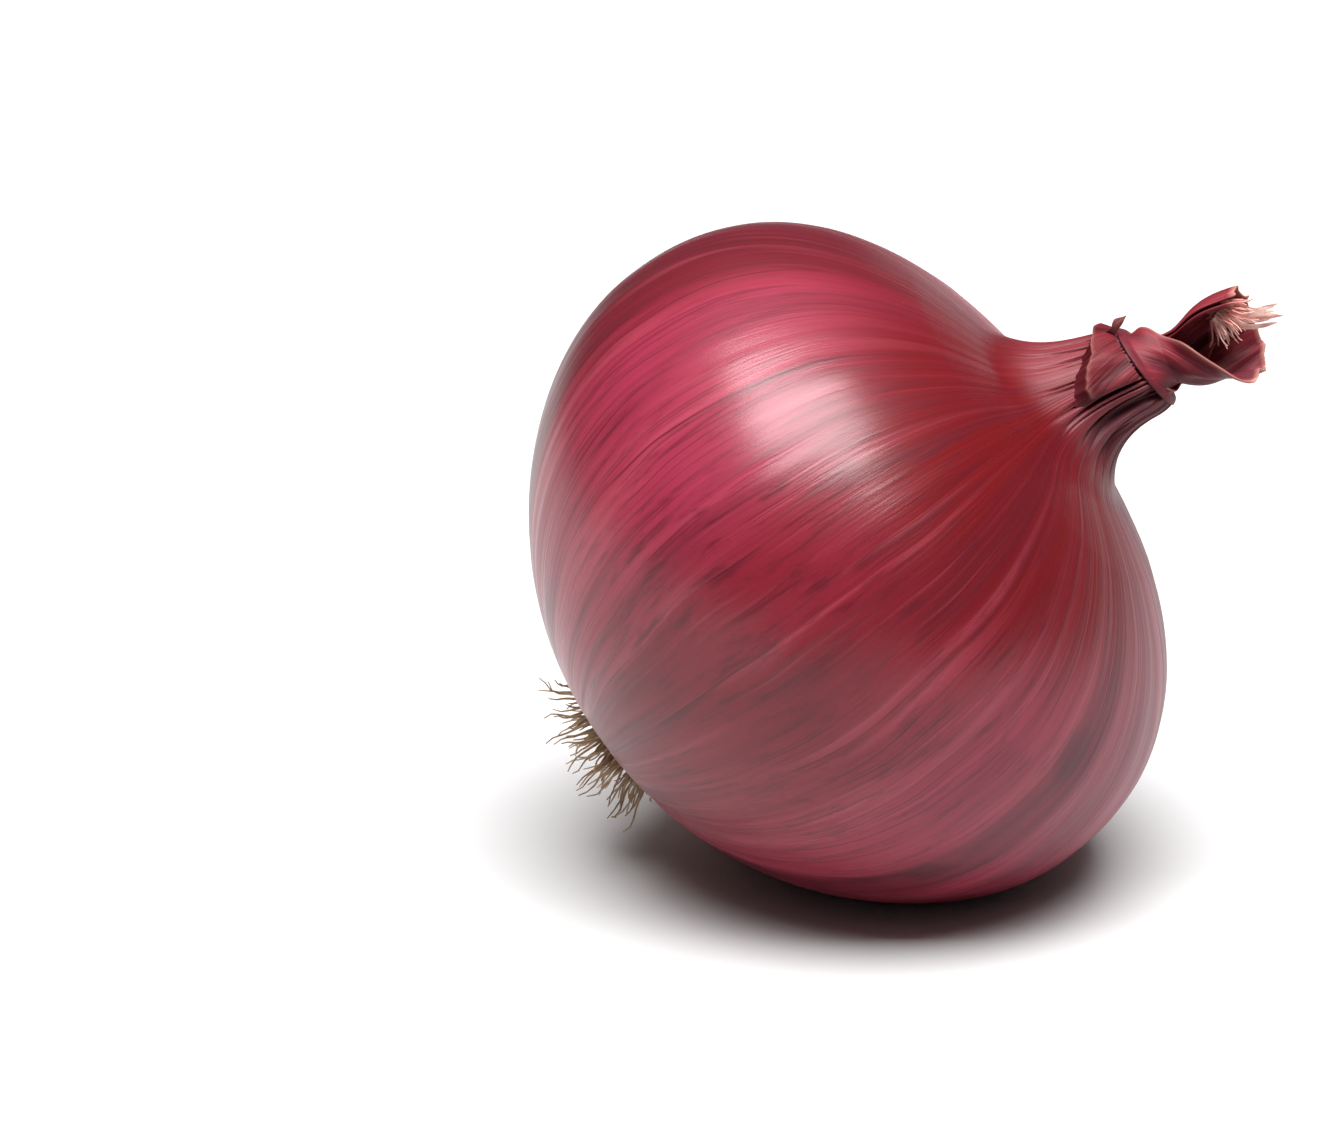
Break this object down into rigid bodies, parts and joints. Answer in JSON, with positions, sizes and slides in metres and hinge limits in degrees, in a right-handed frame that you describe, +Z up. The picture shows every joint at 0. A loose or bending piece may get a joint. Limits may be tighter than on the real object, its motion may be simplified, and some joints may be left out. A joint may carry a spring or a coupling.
{
  "type": "red onion",
  "caption": "Whole red onion in dry satin skin, lying on its side with a twisted neck raised, for food and kitchen scenes.",
  "frame": {"origin": "centre of the small flat spot that the onion rests on", "axes": "+Z up, the neck points to +X and up, +Y completes a right-handed frame"},
  "size_m": [0.0788, 0.0805, 0.0718],
  "materials": {
    "onion_skin": "satin dry crimson skin with fine dark veins",
    "dry_leaf": "dull dry dark-red leaf",
    "dry_root": "dull dry straw-coloured roots"
  },
  "bodies": {
    "root": {"bulb": "onion_skin", "withered_leaves": "dry_leaf", "root_tuft": "dry_root"}
  },
  "joints": []
}
